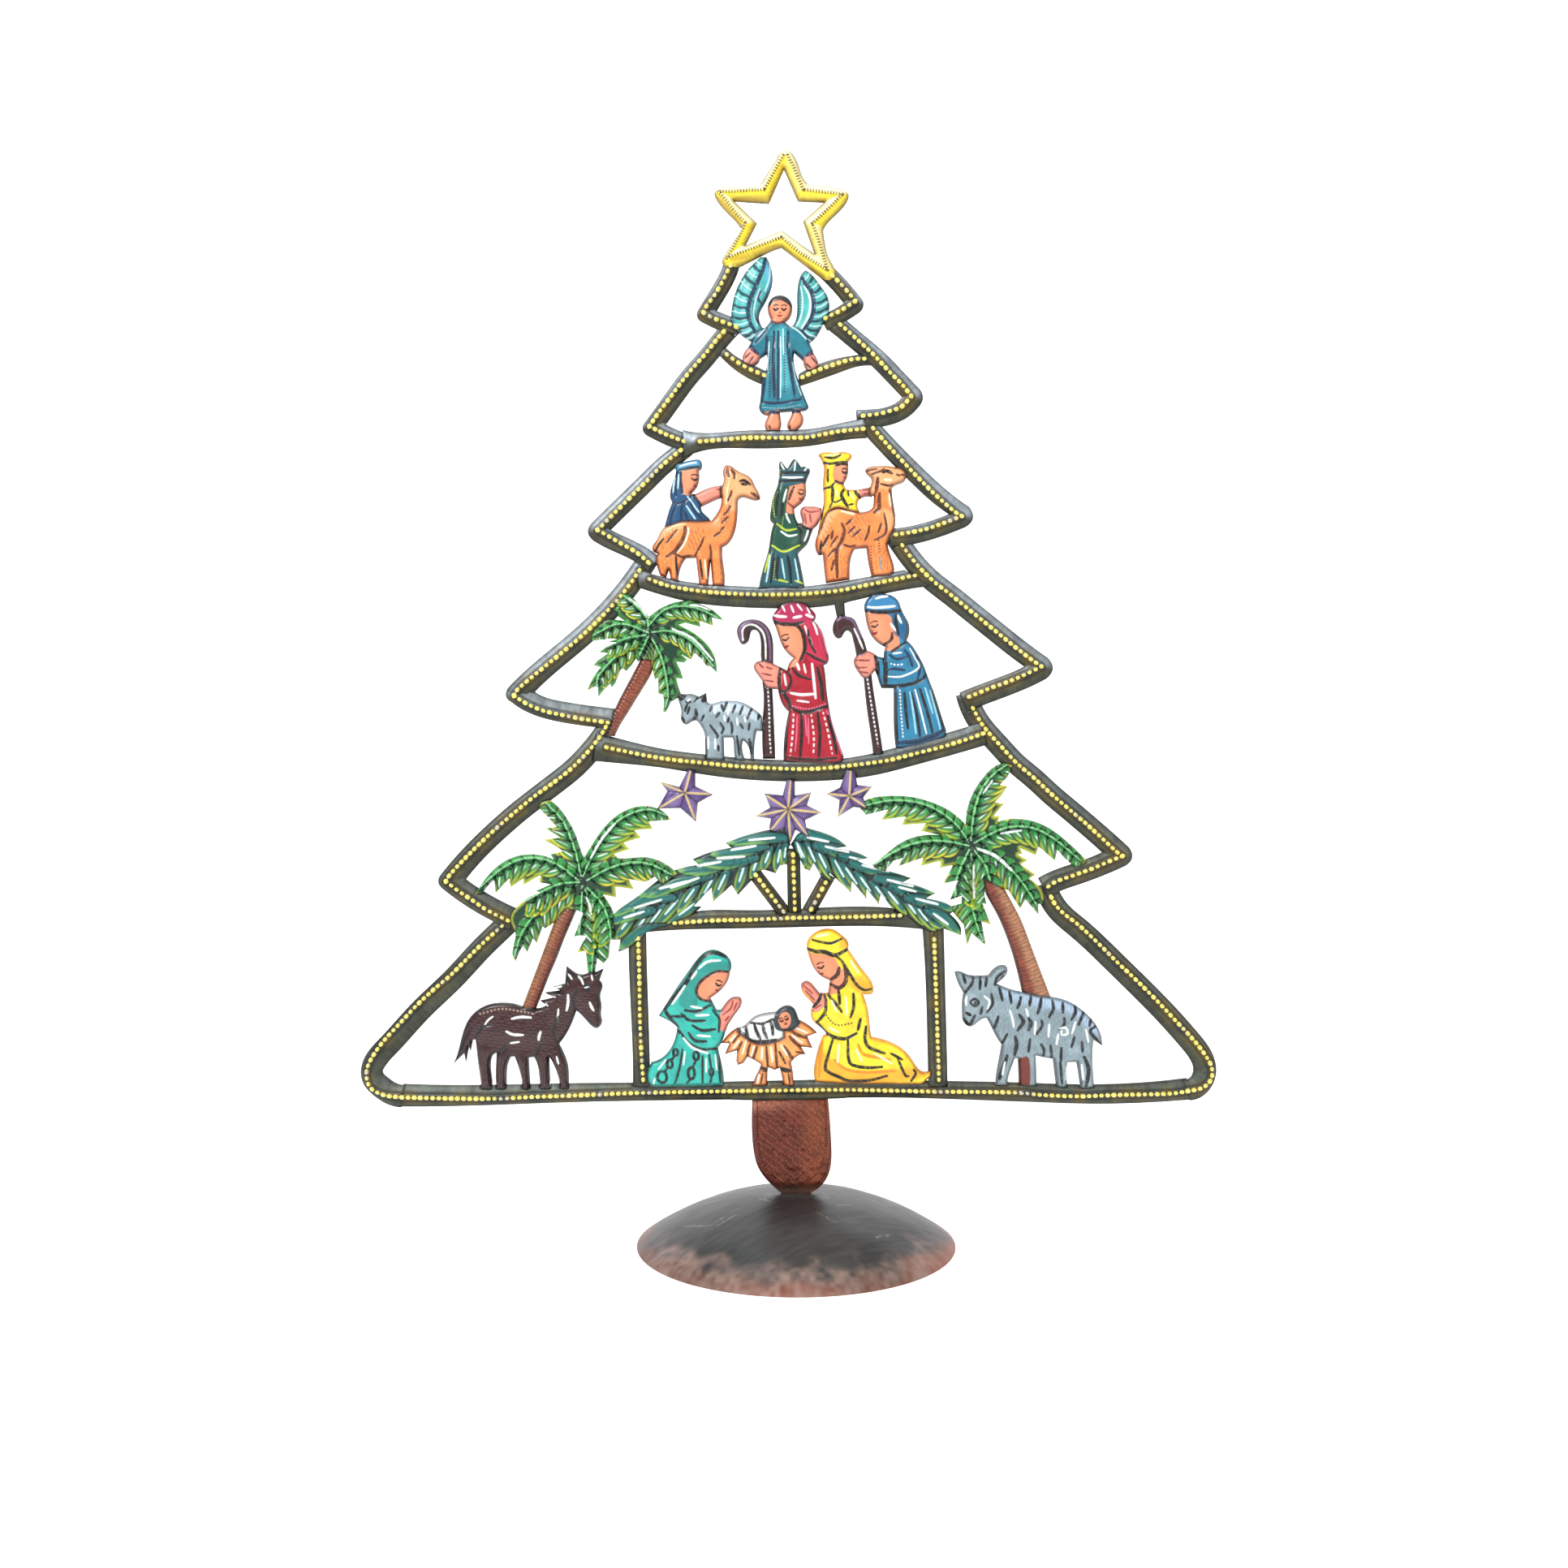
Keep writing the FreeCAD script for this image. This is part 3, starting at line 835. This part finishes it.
def trunk_outline():
    """The hammered trunk plate, narrowing to the tongue that drops into the foot."""
    centre = sheet.foot_centre
    half = sheet.tongue_width / 2
    shoulder = sheet.foot_height + sheet.shoulder_gap
    end = sheet.foot_height - sheet.tongue_depth
    ease = 0.5                # how much wider than the tongue the plate is where it stops
    return [
        straight((-14.4, 58.4)),
        smooth((-14.6, 50.0), (-14.5, 43.0), (-13.8, 36.0), (-12.4, 30.6), (-9.6, 26.0), (-6.4, 22.6),
               (centre - half - ease, shoulder)),
        straight((centre - half, shoulder), (centre - half, end), (centre + half, end),
                 (centre + half, shoulder), (centre + half + ease, shoulder)),
        smooth((12.8, 22.4), (15.3, 25.8), (16.7, 30.0), (17.1, 35.0), (16.9, 41.0), (16.4, 49.0), (15.5, 58.8)),
        straight((-14.4, 58.4)),
    ]


blanks = {}
for name, outlines in FIGURES.items():
    blanks[name] = sheet_piece(name, outlines, True)
for name, outline in MEMBERS.items():
    blanks[name] = sheet_piece(name, [outline], False)
for name, (width_cell, runs) in BANDS.items():
    blanks[name] = sheet_piece(name, [band(runs, sheet.get(width_cell))], False)
blanks["trunk"] = sheet_piece("trunk", [trunk_outline()], False)
doc.recompute()

# Every piece that shares metal with an earlier one is cut back to it, so that they meet face to face.
SHARED = 0.005                # cubic millimetres below which two pieces only touch
CRUMB = 12.0                  # cubic millimetres below which a solid is a trimming, and is dropped
pieces = {}
for position, name in enumerate(ORDER):
    result = blanks[name]
    for other in ORDER[:position]:
        tool = blanks[other]
        if not result.Shape.BoundBox.intersect(tool.Shape.BoundBox):
            continue
        if blanks[name].Shape.common(tool.Shape).Volume < SHARED:
            continue
        cut = doc.addObject("Part::Cut", f"{name}_less_{other}")
        cut.Base = result
        cut.Tool = tool
        result = cut
        doc.recompute([cut])
    whole = [solid for solid in result.Shape.Solids if solid.Volume > CRUMB]
    if len(whole) < len(result.Shape.Solids):
        kept = doc.addObject("Part::Feature", f"{name}_kept")
        kept.Shape = whole[0] if len(whole) == 1 else Part.makeCompound(whole)
        result = kept
    result.Label = name
    pieces[name] = result


# ---------------------------------------------------------------- foot
def domed_foot():
    """A pressed dome of the drum steel, open below, with a chiselled slot across its top."""
    body = doc.addObject("PartDesign::Body", "foot_body")
    radius = sheet.foot_radius
    height = sheet.foot_height
    gauge = sheet.gauge
    outer = (radius ** 2 + height ** 2) / (2 * height)
    inner = outer - gauge
    centre_z = height - outer
    rim_inner = math.sqrt(inner ** 2 - centre_z ** 2)

    def on_cap(r, x):
        return FreeCAD.Vector(x, centre_z + math.sqrt(r ** 2 - x ** 2), 0)

    profile = body.newObject("Sketcher::SketchObject", "foot_profile")
    profile.AttachmentSupport = (origin_plane(body, "XZ_Plane"), [""])
    profile.MapMode = "FlatFace"
    profile.addGeometry(Part.Arc(on_cap(outer, 0), on_cap(outer, radius / 2), on_cap(outer, radius)), False)
    profile.addGeometry(Part.LineSegment(on_cap(outer, radius), on_cap(inner, rim_inner)), False)
    profile.addGeometry(Part.Arc(on_cap(inner, rim_inner), on_cap(inner, rim_inner / 2), on_cap(inner, 0)), False)
    profile.addGeometry(Part.LineSegment(on_cap(inner, 0), on_cap(outer, 0)), False)
    turned = body.newObject("PartDesign::Revolution", "foot_shell")
    turned.Profile = profile
    turned.ReferenceAxis = (profile, ["V_Axis"])
    turned.Angle = 360

    # The slot's two long edges are turned down, which makes a socket that holds the tongue upright.
    slot_x = sheet.tongue_width / 2 + sheet.slot_clearance
    slot_y = gauge / 2 + sheet.slot_clearance
    lip_y = slot_y + sheet.lip_gauge
    lips = body.newObject("Sketcher::SketchObject", "lip_outline")
    lips.AttachmentSupport = (origin_plane(body, "XY_Plane"), [""])
    lips.MapMode = "FlatFace"
    lips.AttachmentOffset.Base.z = height - gauge - sheet.lip_depth
    for side in (-1, 1):
        corners = [(-slot_x, side * slot_y), (slot_x, side * slot_y), (slot_x, side * lip_y),
                   (-slot_x, side * lip_y)]
        for a, b in zip(corners, corners[1:] + corners[:1]):
            lips.addGeometry(Part.LineSegment(FreeCAD.Vector(*a, 0), FreeCAD.Vector(*b, 0)), False)
    lip_pad = body.newObject("PartDesign::Pad", "lip_pad")
    lip_pad.Profile = lips
    lip_pad.Length = sheet.lip_depth + gauge / 2

    slot = body.newObject("Sketcher::SketchObject", "slot_outline")
    slot.AttachmentSupport = (origin_plane(body, "XY_Plane"), [""])
    slot.MapMode = "FlatFace"
    corners = [(-slot_x, -slot_y), (slot_x, -slot_y), (slot_x, slot_y), (-slot_x, slot_y)]
    for a, b in zip(corners, corners[1:] + corners[:1]):
        slot.addGeometry(Part.LineSegment(FreeCAD.Vector(*a, 0), FreeCAD.Vector(*b, 0)), False)
    pocket = body.newObject("PartDesign::Pocket", "slot_pocket")
    pocket.Profile = slot
    pocket.Type = "ThroughAll"
    pocket.Reversed = True
    body.setExpression("Placement.Base.x", "sizes.foot_centre")
    return body


foot = domed_foot()
foot.Label = "base_dome"
pieces["base_dome"] = foot
doc.recompute()

# ---------------------------------------------------------------- checks and files
failed = [o.Name for o in doc.Objects if "Invalid" in o.State or "Error" in o.State]
if failed:
    raise RuntimeError(f"these objects didn't build: {failed}")
for name, piece in pieces.items():
    shape = piece.Shape
    if shape.isNull() or not shape.isValid() or not shape.Solids:
        raise RuntimeError(f"{name} has no sound solid")
    shape.exportStep(f"parts/{name}.step")
    if len(shape.Solids) > 1:
        print(name, "solids", [round(s.Volume, 2) for s in shape.Solids])
box = pieces["base_dome"].Shape.BoundBox
for piece in pieces.values():
    box.add(piece.Shape.BoundBox)
print(len(pieces), "pieces,", box)
